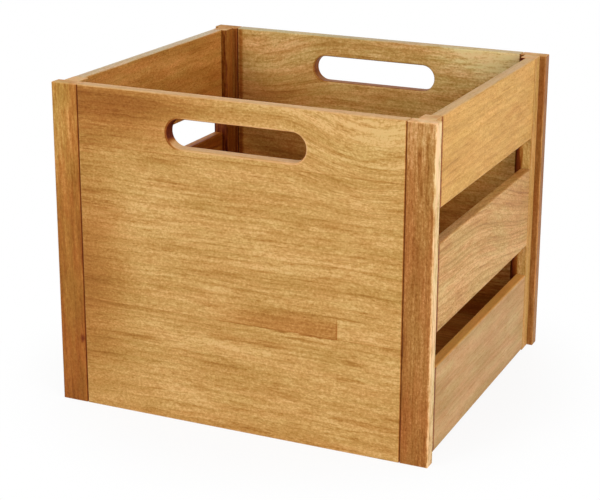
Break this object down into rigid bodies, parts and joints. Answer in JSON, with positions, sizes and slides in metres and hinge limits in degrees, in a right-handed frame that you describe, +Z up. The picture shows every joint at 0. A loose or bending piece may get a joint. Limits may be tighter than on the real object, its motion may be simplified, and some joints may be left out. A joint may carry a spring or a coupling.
{
  "type": "record crate",
  "caption": "Open-topped wooden crate for long-playing records, with board ends that have a hand hole each and slatted sides between corner posts.",
  "frame": {"origin": "on the ground, below the middle of the crate", "axes": "+Z up, +X to the right along the front board, +Y from the front board to the back board, so the pictured front faces -Y"},
  "size_m": [0.36, 0.32, 0.3],
  "materials": {
    "panel_wood": "satin",
    "stile_wood": "satin",
    "slat_wood": "satin",
    "post_wood": "satin",
    "floor_wood": "satin",
    "screw_steel": "satin"
  },
  "bodies": {
    "root": {"front_panel": "panel_wood", "back_panel": "panel_wood", "front_left_stile": "stile_wood", "front_right_stile": "stile_wood", "back_left_stile": "stile_wood", "back_right_stile": "stile_wood", "front_left_post": "post_wood", "front_right_post": "post_wood", "back_left_post": "post_wood", "back_right_post": "post_wood", "left_top_slat": "slat_wood", "left_middle_slat": "slat_wood", "left_bottom_slat": "slat_wood", "right_top_slat": "slat_wood", "right_middle_slat": "slat_wood", "right_bottom_slat": "slat_wood", "front_cleat": "post_wood", "back_cleat": "post_wood", "left_cleat": "post_wood", "right_cleat": "post_wood", "floor_board": "floor_wood", "screws": "screw_steel", "dowels": "floor_wood"}
  },
  "joints": []
}
